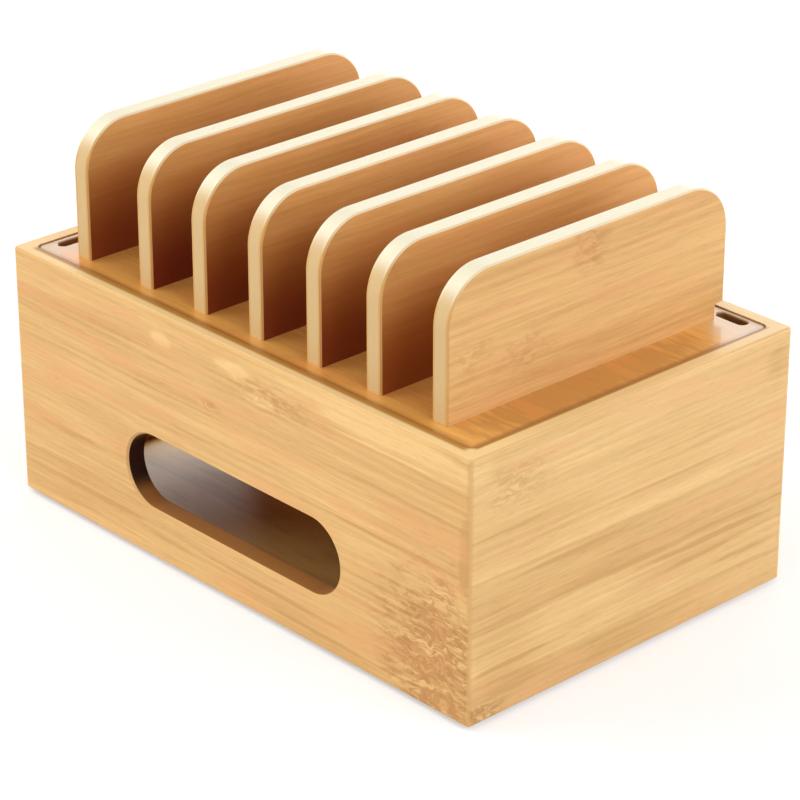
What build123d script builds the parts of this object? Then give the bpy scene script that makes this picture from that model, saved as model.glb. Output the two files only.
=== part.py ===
from build123d import *
from itertools import accumulate
import os

# A bamboo charging station: a mitred box that a charger stands in, a lid that drops into
# a rabbet round the box's rim, and seven upright dividers that grow out of the lid.
# X runs along the box from left to right, Y from its front to its back, and Z up.
# The origin is on the table, under the middle of the box. All lengths are millimetres.

# Box
box_length = 250.0
box_width = 160.0
wall_height = 102.0
wall_thickness = 8.0
corner_radius = 2.0
top_arris = 1.2
bottom_arris = 0.8

# Round-ended openings in the front wall and in the left end wall; the sill is the height
# of the opening's lower edge above the wall's
front_opening_length = 118.6
front_opening_height = 30.0
front_opening_sill = 20.6
end_opening_length = 80.0
end_opening_height = 26.0
end_opening_sill = 8.0
opening_arris = 0.8

# Bottom panel, in a rabbet round the walls' lower inner edges
panel_thickness = 5.0
panel_rabbet = 4.0
panel_fit = 0.1

# Pads under the corners
pad_radius = 6.0
pad_thickness = 1.5
pad_inset = 14.0
pad_arris = 0.3

# Lid, in a rabbet round the rim
rim_width = 6.0
lid_fit = 0.4
lid_thickness = 8.0
lid_drop = 0.4
rabbet_corner_radius = 3.0
lid_arris = 0.5

# Dividers
divider_thickness = 7.8
divider_depth = 137.0
divider_height = 53.4
divider_from_back = 10.2
divider_corner_radius = 19.0
divider_arris = 0.6
row_from_left = 27.5
row_from_right = 28.5
bay_shares = (0.19, 0.16, 0.16, 0.16, 0.16, 0.17)

# Relief at each divider's rear foot, over the end of its cable slot
relief_depth = 4.2
relief_height = 5.4
relief_corner_radius = 1.5

# Tongue under each divider, and its groove in the lid
tongue_thickness = 5.0
tongue_shoulder = 10.5
tongue_drop = 4.0
tongue_fit = 0.1
groove_floor_gap = 0.2

# Cable slots through the lid
slot_length = 14.0
slot_width = 4.4
slot_under_divider = 2.6
rear_slot_from_back = 10.2
end_slot_from_left = 11.0
end_slot_from_front = 13.5
slot_arris = 0.4

# How far a cut runs past the face that it opens
overrun = 5.0

# Levels
wall_base = pad_thickness
wall_top = wall_base + wall_height
lid_top = wall_top - lid_drop
shoulder_level = lid_top - lid_thickness
panel_top = wall_base + panel_thickness

# Sizes that follow from the box
rabbet_length = box_length - 2 * rim_width
rabbet_width = box_width - 2 * rim_width
seat_length = box_length - 2 * wall_thickness + 2 * panel_rabbet
seat_width = box_width - 2 * wall_thickness + 2 * panel_rabbet
pad_reach_x = box_length / 2 - pad_inset
pad_reach_y = box_width / 2 - pad_inset

# Places of the dividers, and of the cable slot beside each
row_start = row_from_left - box_length / 2
row_length = box_length - row_from_left - row_from_right
divider_places = [row_start + row_length * share for share in accumulate((0.0,) + bay_shares)]
divider_back = box_width / 2 - divider_from_back
divider_middle = divider_back - divider_depth / 2
tongue_length = divider_depth - 2 * tongue_shoulder
slot_offset = divider_thickness / 2 - slot_under_divider + slot_length / 2
rear_slot_places = [(x + slot_offset, box_width / 2 - rear_slot_from_back) for x in divider_places]
end_slot_place = (
    end_slot_from_left - box_length / 2,
    end_slot_from_front + slot_length / 2 - box_width / 2,
)

os.makedirs("parts", exist_ok=True)


def write(piece, label):
    """Name a finished piece and write it to its own file."""
    piece.label = label
    export_step(piece, f"parts/{label}.step")


# The box's outer form: its vertical corners and its top and bottom edges are rounded
# after the four boards are glued together, so the rounding crosses the mitres.
with BuildPart() as outer_form:
    with BuildSketch(Plane.XY.offset(wall_base)):
        RectangleRounded(box_length, box_width, corner_radius)
    extrude(amount=wall_height)
    fillet(outer_form.faces().sort_by(Axis.Z)[-1].edges(), radius=top_arris)
    chamfer(outer_form.faces().sort_by(Axis.Z)[0].edges(), length=bottom_arris)


def wall(label, along, length, reach, opening=None):
    """Make one mitred wall.

    along is the direction of the board seen from above, length is its outer length,
    and reach is the distance from the middle of the box to its outer face. opening is
    the length, height and sill of the wall's opening.
    """
    inner_length = length - 2 * wall_thickness
    side = Plane(origin=(0, 0, wall_base), x_dir=along, z_dir=(0, 0, 1))
    with BuildPart() as board:
        with BuildSketch(side):
            with BuildLine():
                Polyline(
                    (-length / 2, -reach),
                    (length / 2, -reach),
                    (inner_length / 2, wall_thickness - reach),
                    (-inner_length / 2, wall_thickness - reach),
                    close=True,
                )
            make_face()
        extrude(amount=wall_height)
        add(outer_form.part, mode=Mode.INTERSECT)
        # rabbet that carries the lid, routed with the box glued up
        with BuildSketch(Plane.XY.offset(shoulder_level)):
            RectangleRounded(rabbet_length, rabbet_width, rabbet_corner_radius)
        extrude(amount=lid_thickness + lid_drop + overrun, mode=Mode.SUBTRACT)
        # rabbet that takes the bottom panel
        with BuildSketch(Plane.XY.offset(panel_top)):
            Rectangle(seat_length, seat_width)
        extrude(amount=-panel_thickness - overrun, mode=Mode.SUBTRACT)
        if opening:
            opening_length, opening_height, sill = opening
            outward = Vector(*along).rotate(Axis.Z, -90)
            face = Plane(
                origin=outward * reach + Vector(0, 0, wall_base + sill + opening_height / 2),
                x_dir=along,
                z_dir=outward,
            )
            with BuildSketch(face.offset(overrun)):
                SlotOverall(opening_length, opening_height)
            extrude(amount=-wall_thickness - 2 * overrun, mode=Mode.SUBTRACT)
            outer_face = board.faces().sort_by(Axis((0, 0, 0), tuple(outward)))[-1]
            chamfer(outer_face.inner_wires().edges(), length=opening_arris)
    write(board.part, label)


front_opening = (front_opening_length, front_opening_height, front_opening_sill)
end_opening = (end_opening_length, end_opening_height, end_opening_sill)
wall("front_wall", (1, 0, 0), box_length, box_width / 2, front_opening)
wall("right_end_wall", (0, 1, 0), box_width, box_length / 2)
wall("back_wall", (-1, 0, 0), box_length, box_width / 2)
wall("left_end_wall", (0, -1, 0), box_width, box_length / 2, end_opening)

# Bottom panel, flush with the walls' lower edges
with BuildPart() as bottom_panel:
    with BuildSketch(Plane.XY.offset(wall_base)):
        Rectangle(seat_length - 2 * panel_fit, seat_width - 2 * panel_fit)
    extrude(amount=panel_thickness)
write(bottom_panel.part, "bottom_panel")


def foot(label, x_side, y_side):
    """Make one round pad; x_side and y_side are -1 or 1."""
    with BuildPart() as pad:
        with BuildSketch():
            with Locations((x_side * pad_reach_x, y_side * pad_reach_y)):
                Circle(pad_radius)
        extrude(amount=pad_thickness)
        chamfer(pad.edges().group_by(Axis.Z)[0], length=pad_arris)
    write(pad.part, label)


for depth_word, y_side in (("front", -1), ("back", 1)):
    for side_word, x_side in (("left", -1), ("right", 1)):
        foot(f"foot_{depth_word}_{side_word}", x_side, y_side)

# Lid: it drops into the rabbet with a small gap all round
with BuildPart() as lid_panel:
    with BuildSketch(Plane.XY.offset(shoulder_level)):
        RectangleRounded(
            rabbet_length - 2 * lid_fit, rabbet_width - 2 * lid_fit, rabbet_corner_radius - lid_fit
        )
    extrude(amount=lid_thickness)
    chamfer(lid_panel.faces().sort_by(Axis.Z)[-1].edges(), length=lid_arris)
    # cable slots: one beside each divider's rear foot, and one in the left end space
    with BuildSketch(Plane.XY.offset(lid_top + overrun)):
        with Locations(*rear_slot_places):
            SlotOverall(slot_length, slot_width)
        with Locations(end_slot_place):
            SlotOverall(slot_length, slot_width, rotation=90)
    extrude(amount=-lid_thickness - 2 * overrun, mode=Mode.SUBTRACT)
    chamfer(lid_panel.faces().sort_by(Axis.Z)[-1].inner_wires().edges(), length=slot_arris)
    # stopped grooves, one under each divider
    with BuildSketch(Plane.XY.offset(lid_top + overrun)):
        with Locations(*[(x, divider_middle) for x in divider_places]):
            SlotOverall(tongue_length + 2 * tongue_fit, tongue_thickness + 2 * tongue_fit, rotation=90)
    extrude(amount=-overrun - tongue_drop - groove_floor_gap, mode=Mode.SUBTRACT)
write(lid_panel.part, "lid_panel")


def divider(label, place):
    """Make one divider, with its tongue, standing at the given place along the row."""
    with BuildPart() as board:
        with BuildSketch(Plane.YZ.offset(place - divider_thickness / 2)) as outline:
            with Locations((divider_middle, lid_top)):
                Rectangle(divider_depth, divider_height, align=(Align.CENTER, Align.MIN))
            fillet(outline.vertices().group_by(Axis.Y)[-1], radius=divider_corner_radius)
            with Locations((divider_back, lid_top)):
                RectangleRounded(
                    2 * relief_depth, 2 * relief_height, relief_corner_radius, mode=Mode.SUBTRACT
                )
        extrude(amount=divider_thickness)
        outline_edges = board.faces().filter_by(Axis.X).edges().group_by(Axis.Z)[1:]
        chamfer([edge for group in outline_edges for edge in group], length=divider_arris)
        with BuildSketch(Plane.XY.offset(lid_top)):
            with Locations((place, divider_middle)):
                SlotOverall(tongue_length, tongue_thickness, rotation=90)
        extrude(amount=-tongue_drop)
    write(board.part, label)


for number, place in enumerate(divider_places, start=1):
    divider(f"divider_{number}", place)
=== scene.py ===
"""Dress the bamboo charging station: a mitred box, and a lift-out lid that carries seven dividers.

The boards keep the shapes that the frame holds. This script gives each board its own piece of
bamboo, with strips, streaks, fibres and knuckles, puts lacquer over it, and sets up the studio.
Lengths inside materials are millimetres; everything else is in metres, as the frame is.
"""
import logging
import math
from dataclasses import dataclass, replace
from enum import Enum
from typing import Union

import bpy
import numpy as np
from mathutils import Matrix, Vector


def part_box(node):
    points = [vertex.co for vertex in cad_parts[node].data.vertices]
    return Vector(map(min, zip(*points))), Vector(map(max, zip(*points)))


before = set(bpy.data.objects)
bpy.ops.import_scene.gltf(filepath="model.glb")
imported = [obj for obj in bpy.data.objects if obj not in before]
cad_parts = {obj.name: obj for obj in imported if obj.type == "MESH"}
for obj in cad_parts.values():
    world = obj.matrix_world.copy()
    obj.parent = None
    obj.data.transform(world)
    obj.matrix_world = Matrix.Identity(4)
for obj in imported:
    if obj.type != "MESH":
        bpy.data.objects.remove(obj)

Colour = tuple[float, float, float]
Triple = tuple[float, float, float]
Pair = tuple[float, float]
Socket = bpy.types.NodeSocket
Value = Union[float, tuple[float, ...], Socket]

MILLIMETRES = 1000.0  # in a metre

log = logging.getLogger("charging_station")


def srgb(red: float, green: float, blue: float) -> Colour:
    """Turn a colour written as 0 to 255 into scene-linear light, along the sRGB curve.

    Args:
        red, green, blue: the colour as a screen shows it.

    Returns:
        The same colour on the linear scale that shaders use.
    """
    knee, slope, offset, power = 0.04045, 12.92, 0.055, 2.4
    shares = np.array([red, green, blue]) / 255.0
    curved = ((shares + offset) / (1.0 + offset)) ** power
    return tuple(float(share) for share in np.where(shares <= knee, shares / slope, curved))


def extent(node: str) -> tuple[np.ndarray, np.ndarray]:
    """Measure the box round a node of the frame.

    Args:
        node: the node's name.

    Returns:
        The box's lowest and highest corners, in millimetres.
    """
    low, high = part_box(node)
    return MILLIMETRES * np.array(low), MILLIMETRES * np.array(high)


class Grain(Enum):
    """Which way a board's fibres run: the part's axes along, across and through the board."""

    LONG_UPRIGHT = (0, 2, 1)
    SHORT_UPRIGHT = (1, 2, 0)
    LONG_FLAT = (0, 1, 2)


@dataclass(frozen=True)
class Oval:
    """An oval on a board: its centre along and across the board, and its halves, in millimetres."""

    along: float
    across: float
    half_length: float
    half_height: float


@dataclass(frozen=True)
class Knuckle(Oval):
    """A node of the cane that shows in a board: an oval patch where the fibres knot and swirl."""

    strength: float = 1.0


@dataclass(frozen=True)
class Mark(Oval):
    """A streak or patch that is paler or darker than the bamboo round it.

    lift is how far its tone lies above the board's, as a share of the board's range of tones.
    """

    lift: float


@dataclass(frozen=True)
class Pattern:
    """Cloudy noise: how far its patches reach along, across and through a board, in millimetres.

    step is added to the board's seed, so that a board's patterns differ from each other.
    """

    reach: Triple
    step: float = 0.0
    detail: float = 2.0
    distortion: float = 0.0


SWAY = Pattern((70.0, 22.0, 22.0))
SWIRL = Pattern((7.0, 5.0, 7.0), 1.0, detail=1.0)
FIGURE = Pattern((120.0, 16.0, 16.0), 2.0)
STREAKS = Pattern((58.0, 1.7, 1.7), 3.0, detail=2.5)
KNUCKLE_RIMS = Pattern((9.0, 5.0, 9.0), 4.0, detail=3.0)
FIBRES = Pattern((9.0, 0.5, 0.5), 5.0)
FLECKS = Pattern((4.6, 1.7, 1.7), 6.0, distortion=0.9)
FLAMES = Pattern((15.0, 1.8, 1.8), 7.0, detail=1.0)
DASHES = Pattern((7.0, 0.6, 0.6), 8.0, detail=1.0)
MARK_RIMS = Pattern((14.0, 2.2, 2.2), 9.0)
WARMTH = Pattern((45.0, 8.0, 8.0), 10.0)
EDGE_MOTTLE = Pattern((5.0, 5.0, 0.8), 12.0, detail=3.0)
PAD_MOTTLE = Pattern((2.0, 2.0, 2.0), detail=3.0)


@dataclass(frozen=True)
class Growth:
    """How bamboo grows, the same for every board.

    A pair gives where a share starts to rise and where it is whole, on the scale of what it is
    read from; only bent_stretch is how many times longer and higher than a knuckle the patch of
    bent fibres is. sway and swirl are how far the fibres wander, in millimetres. The ragged
    numbers are how far noise moves the rims of knuckles and marks, as a share of their size.
    flames and flecks are how strongly these two patterns show round and in a knuckle, and the
    ground numbers how brown its ground is.
    """

    sway: float = 2.4
    swirl: float = 9.0
    ragged_knuckle: float = 1.3
    ragged_mark: float = 1.0
    knuckle_rim: Pair = (1.15, 0.35)
    bent_rim: Pair = (1.25, 0.3)
    bent_stretch: Pair = (2.6, 1.15)
    mark_rim: Pair = (1.2, 0.25)
    flames: float = 3.0
    flecks: float = 3.0
    joint: Pair = (0.012, 0.0)
    joint_depth: float = 0.16
    warm: Pair = (0.48, 0.68)
    warm_share: float = 0.5
    ground: Pair = (0.56, 0.42)
    ground_share: float = 0.5
    ground_least: float = 0.2
    rosy_share: float = 0.15
    dash: Pair = (0.60, 0.74)
    relief_share: float = 0.5
    bump_strength: float = 0.12
    bump_depth: float = 0.4 / MILLIMETRES


GROWTH = Growth()


@dataclass(frozen=True)
class Facing:
    """How the surface's normal tells a board's faces, arrises, cuts and edges apart.

    A pair gives where a share starts to rise and where it is whole. All but three are read from
    the normal's number through the board, which is 1 on a face, about 0.7 on an arris and 0 on a
    cut. rim and top are read from its upward number, and fibre_ends from its lengthways number.
    """

    off_cut: Pair = (0.15, 0.5)
    off_face: Pair = (0.985, 0.88)
    cut: Pair = (0.5, 0.2)
    face: Pair = (0.6, 0.9)
    ply_edge: Pair = (0.92, 0.6)
    bay_side: Pair = (0.5, -0.5)
    rim: Pair = (0.8, 0.97)
    top: Pair = (0.3, 0.8)
    fibre_ends: Pair = (0.55, 0.9)


FACING = Facing()


@dataclass(frozen=True)
class Lacquer:
    """The clear coat over a board: how rough the wood under it is, and how sharp its own shine.

    wood_range is how far the wood's roughness varies with its streaks.
    """

    wood_roughness: float
    coat_weight: float
    coat_roughness: float
    coat_ior: float = 1.5
    wood_range: float = 0.16
    wood_shine: float = 0.3


@dataclass(frozen=True)
class BambooTone:
    """The colours that a board's bamboo ranges over, and how strongly each pattern shows.

    dash is the brown of short dashes and of a knuckle's ground, and rose the colour of warmer
    patches. strip_width is the width of the glued strips, in millimetres.
    """

    light: Colour
    dark: Colour
    dash: Colour
    rose: Colour
    figure: float = 1.1
    streaks: float = 1.35
    fibres: float = 0.45
    dashes: float = 0.2
    strips: float = 0.35
    strip_width: float = 20.0


class Bench:
    """The nodes of one material, or of the world, while they are laid out and joined.

    SEED_STEP is how far a seed of 1 moves a pattern along, across and through the board, and
    START where the pattern of seed 0 begins, both in patches.
    """

    SEED_STEP: Triple = (7.31, 3.17, 5.03)
    START: Triple = (0.0, 11.0, 0.0)

    def __init__(self, owner: Union[bpy.types.Material, bpy.types.World]) -> None:
        """Clear the owner's nodes, so that new ones can be laid out."""
        owner.use_nodes = True
        self.owner = owner
        self.tree = owner.node_tree
        self.tree.nodes.clear()

    def put(self, kind: str, feeds: dict[Union[str, int], Value], **settings: object) -> bpy.types.Node:
        """Add a node.

        Args:
            kind: the node's type without its ShaderNode prefix.
            feeds: what goes into its inputs, by name or index: a number, a tuple or a socket.
            settings: the node's own properties.

        Returns:
            The new node.
        """
        node = self.tree.nodes.new("ShaderNode" + kind)
        for key, value in settings.items():
            setattr(node, key, value)
        for key, value in feeds.items():
            if isinstance(value, bpy.types.NodeSocket):
                self.tree.links.new(value, node.inputs[key])
            else:
                node.inputs[key].default_value = value
        return node

    def maths(self, operation: str, *values: Value, clamp: bool = False) -> Socket:
        """Work out one number from others.

        Args:
            operation: the Math node's operation.
            values: its inputs in order.
            clamp: whether the result is kept between 0 and 1.

        Returns:
            The result's socket.
        """
        node = self.put("Math", dict(enumerate(values)), operation=operation, use_clamp=clamp)
        return node.outputs[0]

    def times(self, *values: Value) -> Socket:
        """Multiply several numbers.

        Args:
            values: the factors.

        Returns:
            The product's socket.
        """
        product = values[0]
        for value in values[1:]:
            product = self.maths("MULTIPLY", product, value)
        return product

    def vector(self, operation: str, *values: Value) -> Socket:
        """Work out one vector from others, with the Vector Math operation of this name."""
        return self.put("VectorMath", dict(enumerate(values)), operation=operation).outputs[0]

    def parts(self, vector: Socket) -> list[Socket]:
        """Take a vector apart into its three numbers."""
        return list(self.put("SeparateXYZ", {0: vector}).outputs)

    def point(self) -> Socket:
        """Read the point on the piece, in millimetres."""
        metres = self.put("TexCoord", {}).outputs["Object"]
        return self.vector("MULTIPLY", metres, (MILLIMETRES,) * 3)

    def smooth(self, value: Value, low: float, high: float) -> Socket:
        """Rise smoothly from 0 at low to 1 at high, or fall where low is the larger."""
        feeds = {"Value": value, "From Min": low, "From Max": high}
        return self.put("MapRange", feeds, interpolation_type="SMOOTHSTEP").outputs[0]

    def blend(self, share: Value, first: Value, second: Value) -> Socket:
        """Mix two colours.

        Args:
            share: how much of the second colour shows.
            first, second: the colours, as sockets or linear triples.

        Returns:
            The mixed colour's socket.
        """
        feeds = {0: share}
        for index, value in ((6, first), (7, second)):
            feeds[index] = value if isinstance(value, bpy.types.NodeSocket) else (*value, 1.0)
        return self.put("Mix", feeds, data_type="RGBA").outputs[2]

    def noise(self, place: Socket, pattern: Pattern, seed: float) -> Socket:
        """Make cloudy noise.

        Args:
            place: the point on the board, in millimetres.
            pattern: the size and the look of its patches.
            seed: the board's own, which moves the pattern, so that two boards differ.

        Returns:
            The noise, around a half.
        """
        seed += pattern.step
        scaled = self.vector("MULTIPLY", place, tuple(1.0 / length for length in pattern.reach))
        shift = tuple(seed * step + start for step, start in zip(self.SEED_STEP, self.START))
        feeds = {"Vector": self.vector("ADD", scaled, shift), "Scale": 1.0, "Detail": pattern.detail,
                 "Distortion": pattern.distortion}
        return self.put("TexNoise", feeds).outputs["Fac"]

    def about_zero(self, value: Socket, strength: float) -> Socket:
        """Shift noise around a half to lie around zero, times strength."""
        return self.maths("MULTIPLY_ADD", value, strength, -strength / 2)

    def oval(self, place: Socket, patch: Oval, stretch: Pair = (1.0, 1.0)) -> Socket:
        """Measure how far a point lies from an oval's middle, where 1 is its rim.

        Args:
            place: the point on the board.
            patch: the oval.
            stretch: what its half length and half height are multiplied by.

        Returns:
            The distance's socket.
        """
        shares = (1.0 / (stretch[0] * patch.half_length), 1.0 / (stretch[1] * patch.half_height), 0.0)
        offset = self.vector("SUBTRACT", place, (patch.along, patch.across, 0.0))
        squashed = self.vector("MULTIPLY", offset, shares)
        return self.put("VectorMath", {0: squashed}, operation="LENGTH").outputs["Value"]


@dataclass(frozen=True)
class Board:
    """One bamboo board: its node in the frame, its grain and what grew in it.

    seed sets its patterns apart from other boards', and strip_offset is how far its glued strips
    are moved down across it, in millimetres.
    """

    node: str
    grain: Grain
    tone: BambooTone
    lacquer: Lacquer
    seed: float
    strip_offset: float = 0.0
    knuckles: tuple[Knuckle, ...] = ()
    marks: tuple[Mark, ...] = ()

    def on_board(self, bench: Bench, vector: Socket) -> Socket:
        """Reorder a vector's numbers as along, across and through the board.

        Args:
            bench: the material being made.
            vector: the vector in the part's own axes.

        Returns:
            The reordered vector's socket.
        """
        numbers = bench.parts(vector)
        feeds = {index: numbers[axis] for index, axis in enumerate(self.grain.value)}
        return bench.put("CombineXYZ", feeds).outputs[0]

    def facing(self, bench: Bench) -> list[Socket]:
        """Read which way the surface faces, as its normal's numbers along, across and through."""
        return bench.parts(self.on_board(bench, bench.put("TexCoord", {}).outputs["Normal"]))

    @staticmethod
    def on_arris(bench: Bench, through: Socket) -> Socket:
        """Mark the arrises, whose normal lies between a cut's and a face's."""
        off_cut = bench.smooth(through, *FACING.off_cut)
        return bench.times(off_cut, bench.smooth(through, *FACING.off_face))

    def from_edge(self, bench: Bench, place: Socket) -> Socket:
        """Measure how far a point lies inside the board's outline, seen square on.

        Args:
            bench: the material being made.
            place: the point on the board.

        Returns:
            The distance's socket, in millimetres.
        """
        low, high = extent(self.node)
        gaps = []
        for axis, number in zip(self.grain.value, bench.parts(place)[:2]):
            middle, half = float(low[axis] + high[axis]) / 2, float(high[axis] - low[axis]) / 2
            off_middle = bench.maths("ABSOLUTE", bench.maths("SUBTRACT", number, middle))
            gaps.append(bench.maths("SUBTRACT", half, off_middle))
        return bench.maths("MINIMUM", *gaps)

    def finish_faces(self, bench: Bench, place: Socket, colour: Socket) -> Socket:
        """Colour the board's edges and cuts. A plain board leaves them as its faces are.

        Args:
            bench: the material being made.
            place: the point on the board.
            colour: the face's colour there.

        Returns:
            The finished colour.
        """
        return colour

    def knuckle_masks(self, bench: Bench, place: Socket) -> tuple[Value, Value]:
        """Mark where the board's knuckles lie, and the stretch of fibres that bends round them.

        A mask is 1 at a knuckle's centre and falls to 0 at its oval rim, which noise makes ragged.
        The second mask's ovals are longer than the first's.

        Args:
            bench: the material being made.
            place: the point on the board.

        Returns:
            The strongest knuckle's share at the point, and the same for the fibres round it.
        """
        ragged = bench.about_zero(bench.noise(place, KNUCKLE_RIMS, self.seed), GROWTH.ragged_knuckle)
        core: Value = 0.0
        round_it: Value = 0.0
        for knuckle in self.knuckles:
            near = bench.maths("ADD", bench.oval(place, knuckle), ragged)
            far = bench.maths("ADD", bench.oval(place, knuckle, GROWTH.bent_stretch), ragged)
            for_core = bench.times(bench.smooth(near, *GROWTH.knuckle_rim), knuckle.strength)
            for_round = bench.times(bench.smooth(far, *GROWTH.bent_rim), knuckle.strength)
            core = bench.maths("MAXIMUM", core, for_core)
            round_it = bench.maths("MAXIMUM", round_it, for_round)
        return core, round_it

    def marks_lift(self, bench: Bench, place: Socket) -> Value:
        """Add up the lift of the board's streaks and patches, each fading towards its rim.

        Args:
            bench: the material being made.
            place: the point on the board.

        Returns:
            The sum at the point.
        """
        ragged = bench.about_zero(bench.noise(place, MARK_RIMS, self.seed), GROWTH.ragged_mark)
        total: Value = 0.0
        for mark in self.marks:
            distance = bench.maths("ADD", bench.oval(place, mark), ragged)
            share = bench.smooth(distance, *GROWTH.mark_rim)
            total = bench.maths("MULTIPLY_ADD", share, mark.lift, total)
        return total

    def bend(self, bench: Bench, place: Socket, core: Value) -> Socket:
        """Let the fibres wander across the board, and swirl in its knuckles.

        Args:
            bench: the material being made.
            place: the point on the board.
            core: the knuckles' share at the point.

        Returns:
            The point that patterns are read at.
        """
        sway = bench.about_zero(bench.noise(place, SWAY, self.seed), GROWTH.sway)
        swirl = bench.about_zero(bench.noise(place, SWIRL, self.seed), GROWTH.swirl)
        shift = bench.maths("MULTIPLY_ADD", swirl, core, sway)
        return bench.vector("ADD", place, bench.put("CombineXYZ", {1: shift}).outputs[0])

    def strips(self, bench: Bench, place: Socket) -> tuple[Socket, Socket]:
        """Divide the board into the strips that it is glued up from.

        Args:
            bench: the material being made.
            place: the point on the board.

        Returns:
            A level between 0 and 1 for each strip, and the joints between them as a mask.
        """
        below_board = 400.0  # keeps every strip's number above zero
        seed_step = 13.7  # moves the levels from board to board
        across = bench.maths("ADD", bench.parts(place)[1], self.strip_offset + below_board)
        strip_place = bench.maths("DIVIDE", across, self.tone.strip_width)
        strip = bench.maths("FLOOR", strip_place)
        level = bench.put("TexWhiteNoise", {"W": bench.maths("ADD", strip, self.seed * seed_step)},
                          noise_dimensions="1D").outputs["Value"]
        return level, bench.smooth(bench.maths("PINGPONG", strip_place, 0.5), *GROWTH.joint)

    def material(self) -> bpy.types.Material:
        """Make this board's bamboo.

        The tone is a sum of patterns around a half: the broad figure, the streaks, the fibres, one
        level for each glued strip, and in a knuckle a swirl of short flecks instead of streaks.

        Returns:
            The finished material.
        """
        bench = Bench(bpy.data.materials.new(f"bamboo_{self.node}"))
        tone, seed = self.tone, self.seed
        place = self.on_board(bench, bench.point())
        core, round_it = self.knuckle_masks(bench, place)
        wavy = self.bend(bench, place, core)
        figure, streaks, fibres, flames, flecks, warmth, dashes = (
            bench.noise(wavy, pattern, seed)
            for pattern in (FIGURE, STREAKS, FIBRES, FLAMES, FLECKS, WARMTH, DASHES))
        level, joint = self.strips(bench, place)

        plain = bench.maths("SUBTRACT", 1.0, core)
        sums = bench.times(bench.about_zero(streaks, tone.streaks), plain)
        sums = bench.maths("MULTIPLY_ADD", bench.about_zero(flames, GROWTH.flames), round_it, sums)
        sums = bench.maths("MULTIPLY_ADD", bench.about_zero(flecks, GROWTH.flecks), core, sums)
        for value, strength in ((figure, tone.figure), (fibres, tone.fibres), (level, tone.strips)):
            sums = bench.maths("ADD", sums, bench.about_zero(value, strength))
        sums = bench.maths("ADD", sums, self.marks_lift(bench, place))
        sums = bench.maths("SUBTRACT", sums, bench.times(joint, GROWTH.joint_depth))
        share = bench.maths("ADD", sums, 0.5, clamp=True)
        colour = bench.blend(share, tone.dark, tone.light)

        warm = bench.times(bench.smooth(warmth, *GROWTH.warm), GROWTH.warm_share)
        colour = bench.blend(warm, colour, tone.rose)
        ground = bench.maths("MULTIPLY_ADD", bench.smooth(flecks, *GROWTH.ground), GROWTH.ground_share,
                             GROWTH.ground_least)
        colour = bench.blend(bench.times(round_it, ground), colour, tone.dash)
        colour = bench.blend(bench.times(core, GROWTH.rosy_share), colour, tone.rose)
        dashed = bench.times(bench.smooth(dashes, *GROWTH.dash), tone.dashes)
        colour = bench.blend(dashed, colour, tone.dash)
        colour = self.finish_faces(bench, place, colour)

        relief = bench.maths("ADD", bench.times(streaks, GROWTH.relief_share),
                             bench.times(fibres, GROWTH.relief_share))
        relief = bench.maths("MULTIPLY_ADD", flecks, core, relief)
        bump = bench.put("Bump", {"Strength": GROWTH.bump_strength, "Distance": GROWTH.bump_depth,
                                  "Height": relief})
        rough = bench.maths("ADD", bench.about_zero(streaks, self.lacquer.wood_range),
                            self.lacquer.wood_roughness)
        shader = bench.put("BsdfPrincipled", {
            "Base Color": colour, "Roughness": rough, "Normal": bump.outputs[0],
            "Coat Weight": self.lacquer.coat_weight, "Coat Roughness": self.lacquer.coat_roughness,
            "Coat IOR": self.lacquer.coat_ior, "Specular IOR Level": self.lacquer.wood_shine})
        bench.put("OutputMaterial", {"Surface": shader.outputs[0]})
        return bench.owner

    def dress(self) -> None:
        """Put this board's bamboo on its node."""
        paint(self.node, self.material())


@dataclass(frozen=True)
class FlatBoard(Board):
    """A board that lies flat: dark where it is cut, partly as painted shade, and with painted shade
    along its outline.

    pooled is how dark the painted shade along the outline is, over a strip of outline_shade_width, and
    faded lists the patches of painted sheen. A cut's colour starts at the first of cut_inset inside the
    outline, and is whole from the second.
    """

    # Painted shade: the arris colour stands for the shaded groove round the lid, and the cut colour is
    # partly the cut's own darker tone, partly the shade in the slots.
    arris: Colour = srgb(206, 150, 86)
    cut: Colour = srgb(158, 106, 52)
    cut_inset: Pair = (0.4, 1.6)
    painted_outline_shade: float = 0.0
    outline_shade_width: Pair = (3.4, 0.8)
    painted_sheen: tuple[Mark, ...] = ()
    sheen_tone: Colour = srgb(198, 178, 150)
    sheen_rim: Pair = (1.0, 0.7)

    def finish_faces(self, bench: Bench, place: Socket, colour: Socket) -> Socket:
        """Paint shade along the outline, darken what is cut inside it, partly as painted shade, and
        paint the sheen patches paler.

        Args:
            bench: the material being made.
            place: the point on the board.
            colour: the face's colour there.

        Returns:
            The finished colour.
        """
        through = bench.maths("ABSOLUTE", self.facing(bench)[2])
        from_edge = self.from_edge(bench, place)
        # Painted shade: a darker band along the outline, where the groove round the lid lies in shade.
        outline_shade = bench.times(bench.smooth(from_edge, *self.outline_shade_width),
                           bench.smooth(through, *FACING.face), self.painted_outline_shade)
        # Partly painted shade: the cut sides darken, as the slots lie in shade.
        cut = bench.times(bench.smooth(through, *FACING.cut), bench.smooth(from_edge, *self.cut_inset))
        colour = bench.blend(outline_shade, colour, self.tone.dash)
        colour = bench.blend(self.on_arris(bench, through), colour, self.arris)
        # Painted sheen: paler patches where the lacquer mirrors the white surroundings.
        for patch in self.painted_sheen:
            share = bench.smooth(bench.oval(place, patch), *self.sheen_rim)
            colour = bench.blend(bench.times(share, patch.lift), colour, self.sheen_tone)
        return bench.blend(cut, colour, self.cut)


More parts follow.
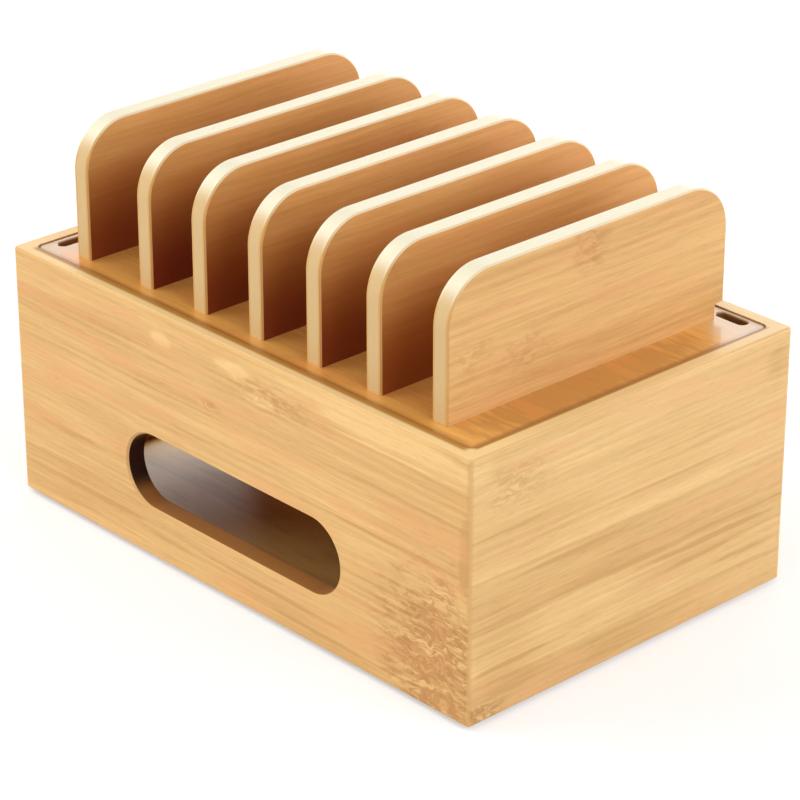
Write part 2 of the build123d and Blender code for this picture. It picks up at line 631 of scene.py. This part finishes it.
@dataclass(frozen=True)
class WallBoard(Board):
    """A wall of the box: pale along its rim, partly as a painted highlight, and dark where an opening
    cuts it, partly as painted shade.

    The rim can have painted shade along its inner edge, for the shaded gap round the lid,
    gap_shade_width wide, which ends where the rounding of the lid's corners begins. lid_gap is
    the gap's width and lid_corner the radius of those corners. The rim's pale strip fades out
    over rim_reach, measured down from the wall's top. All of these are millimetres.
    """

    # Painted shade: the arrises get a darker colour to tone down their highlight.
    arris: Colour = srgb(214, 168, 106)
    arris_share: float = 0.6
    # The rim is paler partly as the board's edge and partly as a painted highlight on the faces that
    # look up.
    rim: Colour = srgb(240, 205, 146)
    rim_share: float = 0.95
    rim_reach: Pair = (14.0, 4.0)
    # Partly painted shade: the opening's cut sides are darker, and their fibre ends near black, for the
    # shade inside the opening as well as the end grain's own darker tone.
    cut: Colour = srgb(160, 98, 44)
    cut_share: float = 0.85
    cut_end: Colour = srgb(50, 20, 8)
    # Painted shade: a brown band along the rim's inner edge, for the shaded gap round the lid.
    painted_gap_shade: Colour = srgb(164, 110, 6)
    gap_shade_share: float = 0.9
    gap_shade_width: float = 0.0
    lid_gap: float = 0.4
    lid_corner: float = 2.6

    def finish_faces(self, bench: Bench, place: Socket, colour: Socket) -> Socket:
        """Make the rim paler, partly as a painted highlight, and the arrises and an opening's cut sides
        darker, as painted shade on the arrises and partly on the cut sides.

        Args:
            bench: the material being made.
            place: the point on the board.
            colour: the face's colour there.

        Returns:
            The finished colour.
        """
        top = float(extent(self.node)[1][2])
        lengthways, upward, outward = self.facing(bench)
        through = bench.maths("ABSOLUTE", outward)
        fade, whole = self.rim_reach
        near_rim = bench.smooth(bench.parts(place)[1], top - fade, top - whole)
        arris = bench.times(self.on_arris(bench, through), self.arris_share)
        on_rim = bench.times(bench.smooth(upward, *FACING.rim), near_rim)
        below_rim = bench.maths("SUBTRACT", 1.0, near_rim)
        cut = bench.times(bench.smooth(through, *FACING.cut), below_rim)
        fibre_ends = bench.smooth(bench.maths("ABSOLUTE", lengthways), *FACING.fibre_ends)
        # Painted shade on the arrises, which tones down their highlight.
        colour = bench.blend(arris, colour, self.arris)
        # Partly a painted highlight: the rim's upward faces are paler.
        colour = bench.blend(bench.times(on_rim, self.rim_share), colour, self.rim)
        # Painted shade along the rim's inner edge, beside the gap round the lid.
        if self.gap_shade_width:
            gap_shaded = bench.times(near_rim, self.beside_lid(bench, place), self.gap_shade_share)
            colour = bench.blend(gap_shaded, colour, self.painted_gap_shade)
        # Partly painted shade: the opening's cut sides darker and their fibre ends near black.
        colour = bench.blend(bench.times(cut, self.cut_share), colour, self.cut)
        return bench.blend(bench.times(cut, fibre_ends), colour, self.cut_end)

    def beside_lid(self, bench: Bench, place: Socket) -> Socket:
        """Mark the strip of the painted shade's width that runs along the gap round the lid.

        The strip is whole up to a share of its width from the gap, and fades over the rest.

        Args:
            bench: the material being made.
            place: the point on the board.

        Returns:
            The strip's mask.
        """
        whole_share = 0.4
        along, _, through = (bench.maths("ABSOLUTE", number) for number in bench.parts(place))
        lid_corner = extent("lid_panel")[1]
        edge = float(lid_corner[self.grain.value[2]]) + self.lid_gap
        end = float(lid_corner[self.grain.value[0]])
        strip = bench.smooth(through, edge + self.gap_shade_width, edge + whole_share * self.gap_shade_width)
        return bench.times(strip, bench.smooth(along, end + self.lid_gap, end - self.lid_corner))


@dataclass(frozen=True)
class UprightBoard(Board):
    """A divider: cream where its plies' edges show, and painted shade down in the bays: darker and more
    orange-brown towards the lid.

    middle is the divider's place along the row, and open_side the side on which it has no
    neighbour: -1 or 1 along the row, or 0 for none. The bays' painted shade starts bay_shade_height
    times depth above the lid and is whole at bay_shade_foot above it. A painted orange-brown, for the
    light that bounces between the bays' faces, tints all of a bay's face by bay_amber_least, and by
    bay_amber_share more at the foot.
    """

    # edge_top is paler than edge_end partly as a painted highlight, since the tops face up to the light.
    edge_top: Colour = srgb(234, 226, 198)
    edge_end: Colour = srgb(200, 154, 90)
    core_pale: Colour = srgb(200, 172, 124)
    core_share: float = 0.85
    half_core: float = 2.4
    core_fade: float = 0.3
    mottle: Pair = (0.45, 0.75)
    mottle_share: float = 0.15
    # Painted shade in the bays: an orange-brown for light bounced between the faces, and a dark
    # red-brown towards the lid.
    painted_bay_amber: Colour = srgb(212, 126, 22)
    bay_amber_share: float = 0.62
    bay_amber_least: float = 0.23
    painted_bay_shade: Colour = srgb(112, 29, 5)
    depth: float = 0.72
    bay_shade_height: float = 60.0
    bay_shade_foot: float = 4.0
    middle: float = 0.0
    open_side: float = 0.0

    def finish_faces(self, bench: Bench, place: Socket, colour: Socket) -> Socket:
        """Paint shade on the bay faces, darker and more orange-brown towards the lid, and show the pale
        plies on the edges, their tops paler partly as a painted highlight.

        Args:
            bench: the material being made.
            place: the point on the board.
            colour: the face's colour there.

        Returns:
            The finished colour.
        """
        lid_top = float(extent("lid_panel")[1][2])
        _, upward, outward = self.facing(bench)
        _, height, along_row = bench.parts(place)
        in_bay: Value = 1.0
        if self.open_side:
            in_bay = bench.smooth(bench.times(outward, self.open_side), *FACING.bay_side)
        # Painted shade: the bay faces grow orange-brown and darker towards the lid, where the neighbours
        # shade them.
        low = bench.smooth(height, lid_top + self.bay_shade_height * self.depth, lid_top + self.bay_shade_foot)
        bay_amber_tinge = bench.times(bench.maths("MULTIPLY_ADD", low, self.bay_amber_share, self.bay_amber_least), in_bay)
        colour = bench.blend(bay_amber_tinge, colour, self.painted_bay_amber)
        colour = bench.blend(bench.times(low, in_bay, self.depth), colour, self.painted_bay_shade)

        edge = bench.smooth(bench.maths("ABSOLUTE", outward), *FACING.ply_edge)
        # Partly a painted highlight: the edges that face up are paler than the ends.
        cream = bench.blend(bench.smooth(upward, *FACING.top), self.edge_end, self.edge_top)
        off_middle = bench.maths("ABSOLUTE", bench.maths("SUBTRACT", along_row, self.middle))
        core = bench.times(bench.smooth(off_middle, self.half_core + self.core_fade, self.half_core),
                           bench.smooth(upward, *reversed(FACING.top)), self.core_share)
        cream = bench.blend(core, cream, self.core_pale)
        mottle = bench.smooth(bench.noise(place, EDGE_MOTTLE, self.seed), *self.mottle)
        cream = bench.blend(bench.times(mottle, self.mottle_share), cream, self.tone.light)
        return bench.blend(edge, colour, cream)


def paint(node: str, material: bpy.types.Material) -> None:
    """Give a node of the frame its finish.

    Args:
        node: the node's name.
        material: what its material slots are set to.
    """
    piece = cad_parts[node]
    for slot in piece.material_slots:
        slot.material = material
    low, high = extent(node)
    log.info("%s: %s, %s mm", node, material.name, tuple(round(float(side), 1) for side in high - low))


SATIN = Lacquer(wood_roughness=0.56, coat_weight=0.26, coat_roughness=0.36)
GLOSS = Lacquer(wood_roughness=0.42, coat_weight=0.74, coat_roughness=0.1)
SOFT = Lacquer(wood_roughness=0.62, coat_weight=0.14, coat_roughness=0.34)
SEALED = Lacquer(wood_roughness=0.5, coat_weight=0.68, coat_roughness=0.26)

WALL_TONE = BambooTone(
    light=srgb(231, 190, 124), dark=srgb(197, 149, 86), dash=srgb(164, 108, 52),
    rose=srgb(219, 158, 100))
END_TONE = replace(
    WALL_TONE, light=srgb(229, 191, 130), dark=srgb(197, 152, 91), rose=srgb(220, 168, 114),
    streaks=1.15)
LID_TONE = BambooTone(
    light=srgb(252, 190, 99), dark=srgb(197, 137, 64), dash=srgb(150, 92, 38),
    rose=srgb(226, 148, 74), figure=0.5, streaks=0.6, fibres=0.3, strips=0.2)
DIVIDER_TONE = BambooTone(
    light=srgb(222, 178, 115), dark=srgb(190, 141, 80), dash=srgb(160, 100, 48),
    rose=srgb(214, 158, 104), streaks=1.3, dashes=0.16, strips=0.2, fibres=0.5)
PANEL_TONE = BambooTone(
    light=srgb(250, 206, 128), dark=srgb(238, 188, 112), dash=srgb(176, 124, 64),
    rose=srgb(210, 162, 100))


@dataclass(frozen=True)
class Rubber:
    """Soft translucent-grey rubber, matt, and mottled between its colour and a darker shade of it.

    scatter is the share of light that goes into it and comes out again within scatter_reach.
    """

    colour: Colour = srgb(212, 212, 206)
    shade: float = 0.82
    roughness: float = 0.65
    seed: float = 0.5
    bump_strength: float = 0.1
    bump_depth: float = 0.2 / MILLIMETRES
    scatter: float = 0.2
    scatter_reach: float = 1.0 / MILLIMETRES

    def material(self) -> bpy.types.Material:
        """Make the rubber.

        Returns:
            The finished material.
        """
        bench = Bench(bpy.data.materials.new("pad_rubber"))
        mottle = bench.noise(bench.point(), PAD_MOTTLE, self.seed)
        darker = tuple(self.shade * part for part in self.colour)
        colour = bench.blend(mottle, darker, self.colour)
        bump = bench.put("Bump", {"Strength": self.bump_strength, "Distance": self.bump_depth,
                                  "Height": mottle})
        shader = bench.put("BsdfPrincipled", {
            "Base Color": colour, "Roughness": self.roughness, "Normal": bump.outputs[0],
            "Subsurface Weight": self.scatter, "Subsurface Scale": self.scatter_reach})
        bench.put("OutputMaterial", {"Surface": shader.outputs[0]})
        return bench.owner


@dataclass
class Box:
    """The box: four mitred walls, the bottom panel in its rabbet, and the pads it stands on.

    front_gap_shade and end_gap_shade are how far the painted shade of the gap round the lid reaches over
    the rim, in millimetres.
    """

    front_gap_shade: float = 2.8
    end_gap_shade: float = 1.4
    pads: Rubber = Rubber()

    def front_wall(self) -> Board:
        """Describe the front board: a painted pale strip of light on top, painted shade towards the near
        corner, and a broad knuckle at its right end.

        Returns:
            The board.
        """
        knuckles = (
            Knuckle(109.0, 22.0, 12.0, 32.0, 1.0),
            Knuckle(25.0, 91.0, 12.0, 6.0, 0.38),
            Knuckle(-10.0, 76.5, 3.0, 2.0, 0.7),
        )
        # Mark(84.0, 99.0, ...) is a painted pale strip of light along the top, and Mark(108.0, 22.0,
        # ...) painted shade towards the near corner.
        marks = (
            Mark(84.0, 99.0, 56.0, 7.0, 0.42), Mark(84.0, 91.5, 46.0, 0.7, 0.5),
            Mark(-37.0, 93.5, 6.5, 3.5, 0.9), Mark(4.0, 95.5, 10.0, 3.5, 0.9),
            Mark(17.0, 88.0, 10.0, 2.5, 0.7), Mark(90.0, 58.0, 36.0, 1.1, -0.7),
            Mark(62.0, 61.0, 38.0, 1.2, 0.4), Mark(-74.0, 15.0, 30.0, 1.1, -0.7),
            Mark(-92.0, 36.0, 24.0, 1.2, -0.6), Mark(-84.0, 88.0, 30.0, 1.0, -0.5),
            Mark(20.0, 14.0, 44.0, 1.0, -0.5), Mark(46.0, 7.0, 40.0, 1.0, -0.5),
            Mark(122.5, 66.0, 3.0, 18.0, -0.55), Mark(-20.0, 66.0, 60.0, 2.2, 0.3),
            Mark(108.0, 22.0, 14.0, 34.0, -0.3),
        )
        return WallBoard(
            "front_wall", Grain.LONG_UPRIGHT, WALL_TONE, SATIN, seed=1.0, strip_offset=-12.0,
            knuckles=knuckles, marks=marks, gap_shade_width=self.front_gap_shade)

    def right_end_wall(self) -> Board:
        """Describe the plain end board: straight dark streaks, and one knuckle near the front.

        Returns:
            The board.
        """
        knuckles = (Knuckle(-59.0, 88.0, 6.5, 9.0, 0.42), Knuckle(-75.0, 4.5, 6.0, 4.5, 0.9))
        marks = (
            Mark(-76.0, 98.0, 8.0, 8.0, 0.3), Mark(73.0, 92.0, 8.0, 7.0, -0.38),
            Mark(-58.0, 72.0, 24.0, 0.9, -0.45), Mark(16.0, 64.5, 38.0, 1.1, -0.45),
            Mark(-32.0, 52.5, 30.0, 1.1, -0.45), Mark(0.0, 37.5, 84.0, 1.0, -0.45),
            Mark(40.0, 33.0, 40.0, 1.5, -0.68), Mark(32.0, 27.5, 24.0, 1.0, -0.52),
            Mark(-58.0, 20.5, 24.0, 1.3, -0.68), Mark(62.0, 21.0, 20.0, 1.3, -0.6),
            Mark(10.0, 58.0, 60.0, 3.0, 0.26), Mark(-20.0, 84.0, 40.0, 2.0, -0.22),
            Mark(30.0, 24.0, 60.0, 18.0, -0.14), Mark(-64.0, 26.0, 20.0, 20.0, -0.3),
        )
        return WallBoard(
            "right_end_wall", Grain.SHORT_UPRIGHT, END_TONE, SATIN, seed=2.3, strip_offset=-16.0,
            knuckles=knuckles, marks=marks, gap_shade_width=self.end_gap_shade)

    def back_wall(self) -> Board:
        """Describe the back board, with two knuckles.

        Returns:
            The board.
        """
        knuckles = (Knuckle(-62.0, 74.0, 9.0, 12.0, 0.9), Knuckle(48.0, 30.0, 10.0, 20.0, 0.9))
        marks = (
            Mark(-20.0, 52.0, 60.0, 1.2, -0.7), Mark(70.0, 84.0, 46.0, 1.2, -0.6),
            Mark(-70.0, 20.0, 40.0, 1.4, -0.7), Mark(30.0, 64.0, 50.0, 2.4, 0.4),
        )
        return WallBoard(
            "back_wall", Grain.LONG_UPRIGHT, WALL_TONE, SATIN, seed=3.1, strip_offset=-7.0,
            knuckles=knuckles, marks=marks)

    def left_end_wall(self) -> Board:
        """Describe the end board that has the lead's opening, with a knuckle above and beside it.

        Returns:
            The board.
        """
        knuckles = (Knuckle(46.0, 74.0, 8.0, 12.0, 0.9), Knuckle(-60.0, 16.0, 7.0, 10.0, 0.8))
        marks = (
            Mark(-10.0, 82.0, 50.0, 1.2, -0.7), Mark(20.0, 48.0, 44.0, 1.2, -0.6),
            Mark(-30.0, 60.0, 40.0, 2.4, 0.4),
        )
        return WallBoard(
            "left_end_wall", Grain.SHORT_UPRIGHT, WALL_TONE, SATIN, seed=4.7, strip_offset=-4.0,
            knuckles=knuckles, marks=marks)

    def bottom_panel(self) -> Board:
        """Describe the bottom panel, with a knuckle inside the front opening.

        Returns:
            The board.
        """
        knuckles = (Knuckle(20.0, 12.0, 10.0, 22.0, 0.8),)
        return FlatBoard(
            "bottom_panel", Grain.LONG_FLAT, PANEL_TONE, SEALED, seed=5.2, knuckles=knuckles)

    def build(self) -> None:
        """Dress every board and pad of the box."""
        for board in (self.front_wall(), self.right_end_wall(), self.back_wall(), self.left_end_wall(),
                      self.bottom_panel()):
            board.dress()
        rubber = self.pads.material()
        for depth in ("front", "back"):
            for side in ("left", "right"):
                paint(f"foot_{depth}_{side}", rubber)


@dataclass
class Lid:
    """The lift-out lid: a glossy panel with cable slots, and the dividers glued into it.

    The dividers count from the left. Each has its own knuckles and its own depth of painted shade,
    and the seed and the strips' places rise by a step from one to the next.
    """

    # How strong each divider's painted bay shade is, from the left.
    bay_shade_depths: tuple[float, ...] = (0.85, 0.97, 0.9, 0.9, 0.88, 0.76, 0.72)
    knuckles: tuple[tuple[Knuckle, ...], ...] = (
        (Knuckle(10.0, 128.0, 5.0, 8.0, 0.7),),
        (Knuckle(-22.0, 138.0, 5.0, 9.0, 0.7),),
        (Knuckle(36.0, 140.0, 6.0, 8.0, 0.8),),
        (Knuckle(-8.0, 126.0, 5.0, 9.0, 0.6),),
        (Knuckle(20.0, 134.0, 5.0, 7.0, 0.7),),
        (Knuckle(-34.0, 130.0, 5.0, 8.0, 0.6),),
        (Knuckle(0.0, 150.0, 3.5, 9.0, 0.5), Knuckle(-56.0, 124.0, 5.0, 7.0, 0.3),
         Knuckle(-30.0, 120.0, 6.0, 8.0, 0.3)),
    )
    first_seed: float = 8.0
    seed_step: float = 1.9
    strip_step: float = 3.1

    def panel(self) -> Board:
        """Describe the lid panel: painted shade along its outline, and a painted sheen at both ends.

        Returns:
            The board.
        """
        knuckles = (Knuckle(-104.0, -20.0, 8.0, 14.0, 0.5), Knuckle(64.0, 30.0, 9.0, 16.0, 0.5))
        # Painted shade: a darker patch beside the last divider, and a faint darker strip along the front
        # edge.
        marks = (Mark(108.0, -8.0, 16.0, 66.0, -0.8), Mark(-40.0, -71.0, 90.0, 3.0, -0.15))
        # Painted sheen at the left end and the right back corner, where the lacquer mirrors the white
        # surroundings.
        painted_sheen = (Mark(-118.0, 0.0, 23.0, 110.0, 0.6), Mark(113.0, 80.0, 22.0, 30.0, 0.6))
        # Painted shade: the dark arris and the darker outline stand for the shaded groove round the lid,
        # and the cut colour partly for the shade in the slots.
        return FlatBoard(
            "lid_panel", Grain.LONG_FLAT, LID_TONE, GLOSS, seed=6.4, strip_offset=5.0,
            knuckles=knuckles, marks=marks, arris=srgb(166, 104, 28), cut=srgb(150, 104, 60),
            painted_outline_shade=0.75, painted_sheen=painted_sheen)

    def divider(self, number: int) -> Board:
        """Describe one divider.

        Args:
            number: its place in the row, from 1 at the left.

        Returns:
            The board.
        """
        node = f"divider_{number}"
        low, high = extent(node)
        open_side = {1: -1.0, len(self.bay_shade_depths): 1.0}.get(number, 0.0)
        return UprightBoard(
            node, Grain.SHORT_UPRIGHT, DIVIDER_TONE, SOFT,
            seed=self.first_seed + self.seed_step * number, strip_offset=self.strip_step * number,
            knuckles=self.knuckles[number - 1], depth=self.bay_shade_depths[number - 1],
            middle=float(low[0] + high[0]) / 2, open_side=open_side)

    def build(self) -> None:
        """Dress the lid panel and its dividers."""
        self.panel().dress()
        for number in range(1, len(self.bay_shade_depths) + 1):
            self.divider(number).dress()


@dataclass(frozen=True)
class Softbox:
    """A soft studio light: a lit panel that faces the part.

    azimuth runs round from the front, over the right end, and elevation up from the floor, both in
    degrees; distance, width and height are metres, and radiance is how bright the panel looks.
    shine tells whether lacquer shows the panel's mirror image.
    """

    name: str
    azimuth: float
    elevation: float
    radiance: float
    width: float = 1.0
    height: float = 1.0
    distance: float = 2.0
    shine: bool = True

    def hang(self, target: Vector) -> None:
        """Make the light, turned to the target. Its power is its radiance times pi times its area.

        Args:
            target: the point that it faces.
        """
        round_about, up = math.radians(self.azimuth), math.radians(self.elevation)
        towards = Vector((math.sin(round_about) * math.cos(up), -math.cos(round_about) * math.cos(up),
                          math.sin(up)))
        lamp = bpy.data.lights.new(self.name, "AREA")
        lamp.shape = "RECTANGLE"
        lamp.size, lamp.size_y = self.width, self.height
        lamp.energy = self.radiance * math.pi * self.width * self.height
        light = bpy.data.objects.new(self.name, lamp)
        light.location = target + self.distance * towards
        light.rotation_euler = (-towards).to_track_quat("-Z", "Y").to_euler()
        light.visible_camera = False
        light.visible_glossy = self.shine
        bpy.context.scene.collection.objects.link(light)
        log.info("%s: %.1f x %.1f m at radiance %.2f", self.name, self.width, self.height, self.radiance)


@dataclass
class Studio:
    """The pale floor, the white surroundings, the soft lights and the camera.

    aim is the point that the camera looks at, and sight how far it sees. ambient is how bright the
    surroundings are as a light, and white how bright they look.
    """

    aim: Triple = (0.00763, -0.00311, 0.06024)
    yaw: float = math.radians(47.24)
    pitch: float = math.radians(25.37)
    distance: float = 1.223
    lens: float = 148.14
    sensor: float = 36.0
    sight: float = 50.0
    floor_radius: float = 6.0
    floor_rings: int = 6
    floor_spokes: int = 64
    floor_colour: Colour = (0.62, 0.62, 0.62)
    floor_glow: float = 0.42
    ambient: float = 0.05
    white: float = 1.0
    lights: tuple[Softbox, ...] = (
        Softbox("window_light", 302.0, 34.0, 3.0, width=2.0, height=1.6, shine=False),
        Softbox("front_light", 2.0, 9.0, 5.2, width=2.4, height=0.6),
        Softbox("right_light", 118.0, 9.0, 3.0, width=2.0, height=0.6),
        Softbox("bay_light", 94.0, 36.0, 3.35, width=1.8, height=0.8),
        Softbox("far_right_light", 150.0, 9.0, 4.6, width=2.0, height=0.6),
        Softbox("back_light", 206.0, 9.0, 6.0, width=2.0, height=0.6),
        Softbox("back_panel", 226.0, 28.0, 1.1, width=1.8, height=1.0),
        Softbox("top_light", 60.0, 74.0, 1.4, width=1.8, height=1.5),
    )

    def floor(self) -> None:
        """Lay a pale disc under the part.

        A point is (r cos t, r sin t, 0), with r from 0 to the floor's radius over the first
        parameter and t once round over the second.
        """
        rings, spokes = self.floor_rings, self.floor_spokes
        r, t = np.meshgrid(np.linspace(0.0, self.floor_radius, rings + 1)[1:],
                           np.linspace(0.0, 2 * math.pi, spokes, endpoint=False), indexing="ij")
        points = np.stack([r * np.cos(t), r * np.sin(t), np.zeros_like(r)], axis=-1).reshape(-1, 3)
        points = np.vstack([points, np.zeros((1, 3))])
        ring, spoke = np.meshgrid(np.arange(rings - 1), np.arange(spokes), indexing="ij")
        after = (spoke + 1) % spokes
        quads = np.stack([ring * spokes + spoke, (ring + 1) * spokes + spoke,
                          (ring + 1) * spokes + after, ring * spokes + after], axis=-1).reshape(-1, 4)
        around = np.arange(spokes)
        middle = np.full(spokes, rings * spokes)
        fan = np.stack([middle, around, (around + 1) % spokes], axis=-1)
        mesh = bpy.data.meshes.new("floor")
        mesh.from_pydata(points.tolist(), [], quads.tolist() + fan.tolist())
        piece = bpy.data.objects.new("floor", mesh)
        bpy.context.scene.collection.objects.link(piece)
        mesh.materials.append(self.floor_material())
        log.info("floor: %.0f m across", 2 * self.floor_radius)

    def floor_material(self) -> bpy.types.Material:
        """Make a matt pale floor that the camera sees a little brighter, with the part's shadow kept.

        Returns:
            The finished material.
        """
        bench = Bench(bpy.data.materials.new("pale_floor"))
        matt = bench.put("BsdfDiffuse", {"Color": (*self.floor_colour, 1.0)})
        seen = bench.put("LightPath", {}).outputs
        straight = bench.maths("MAXIMUM", seen["Is Camera Ray"], seen["Is Glossy Ray"])
        glow = bench.put("Emission", {"Strength": bench.maths("MULTIPLY", straight, self.floor_glow)})
        both = bench.put("AddShader", {0: matt.outputs[0], 1: glow.outputs[0]})
        bench.put("OutputMaterial", {"Surface": both.outputs[0]})
        return bench.owner

    def surroundings(self) -> None:
        """Make the world: white where it is seen or reflected, and dimmer as a light."""
        bench = Bench(bpy.data.worlds.new("white_studio"))
        seen = bench.put("LightPath", {}).outputs
        mirrored = bench.maths("MAXIMUM", seen["Is Camera Ray"], seen["Is Glossy Ray"])
        straight = bench.maths("MAXIMUM", mirrored, seen["Is Transmission Ray"])
        strength = bench.put("MapRange", {"Value": straight, "To Min": self.ambient,
                                          "To Max": self.white})
        back = bench.put("Background", {"Strength": strength.outputs[0]})
        bench.put("OutputWorld", {"Surface": back.outputs[0]})
        bpy.context.scene.world = bench.owner

    def camera(self) -> None:
        """Place the camera: distance back from the aim point, round by yaw and up by pitch."""
        lens = bpy.data.cameras.new("camera")
        lens.lens = self.lens
        lens.sensor_width = self.sensor
        lens.clip_end = self.sight
        piece = bpy.data.objects.new("camera", lens)
        level = math.cos(self.pitch)
        ahead = Vector((-math.sin(self.yaw) * level, math.cos(self.yaw) * level, -math.sin(self.pitch)))
        piece.location = Vector(self.aim) - self.distance * ahead
        piece.rotation_euler = ahead.to_track_quat("-Z", "Y").to_euler()
        bpy.context.scene.collection.objects.link(piece)
        bpy.context.scene.camera = piece
        log.info("camera at %s", tuple(round(part, 4) for part in piece.location))

    def build(self) -> None:
        """Set the whole studio up."""
        self.camera()
        self.floor()
        self.surroundings()
        for light in self.lights:
            light.hang(Vector(self.aim))
        bpy.context.scene.view_settings.view_transform = "Standard"


def main() -> None:
    """Build the studio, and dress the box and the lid."""
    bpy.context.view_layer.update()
    Studio().build()
    Box().build()
    Lid().build()


if __name__ == "__main__":
    logging.basicConfig(level=logging.INFO, format="%(message)s")
    main()
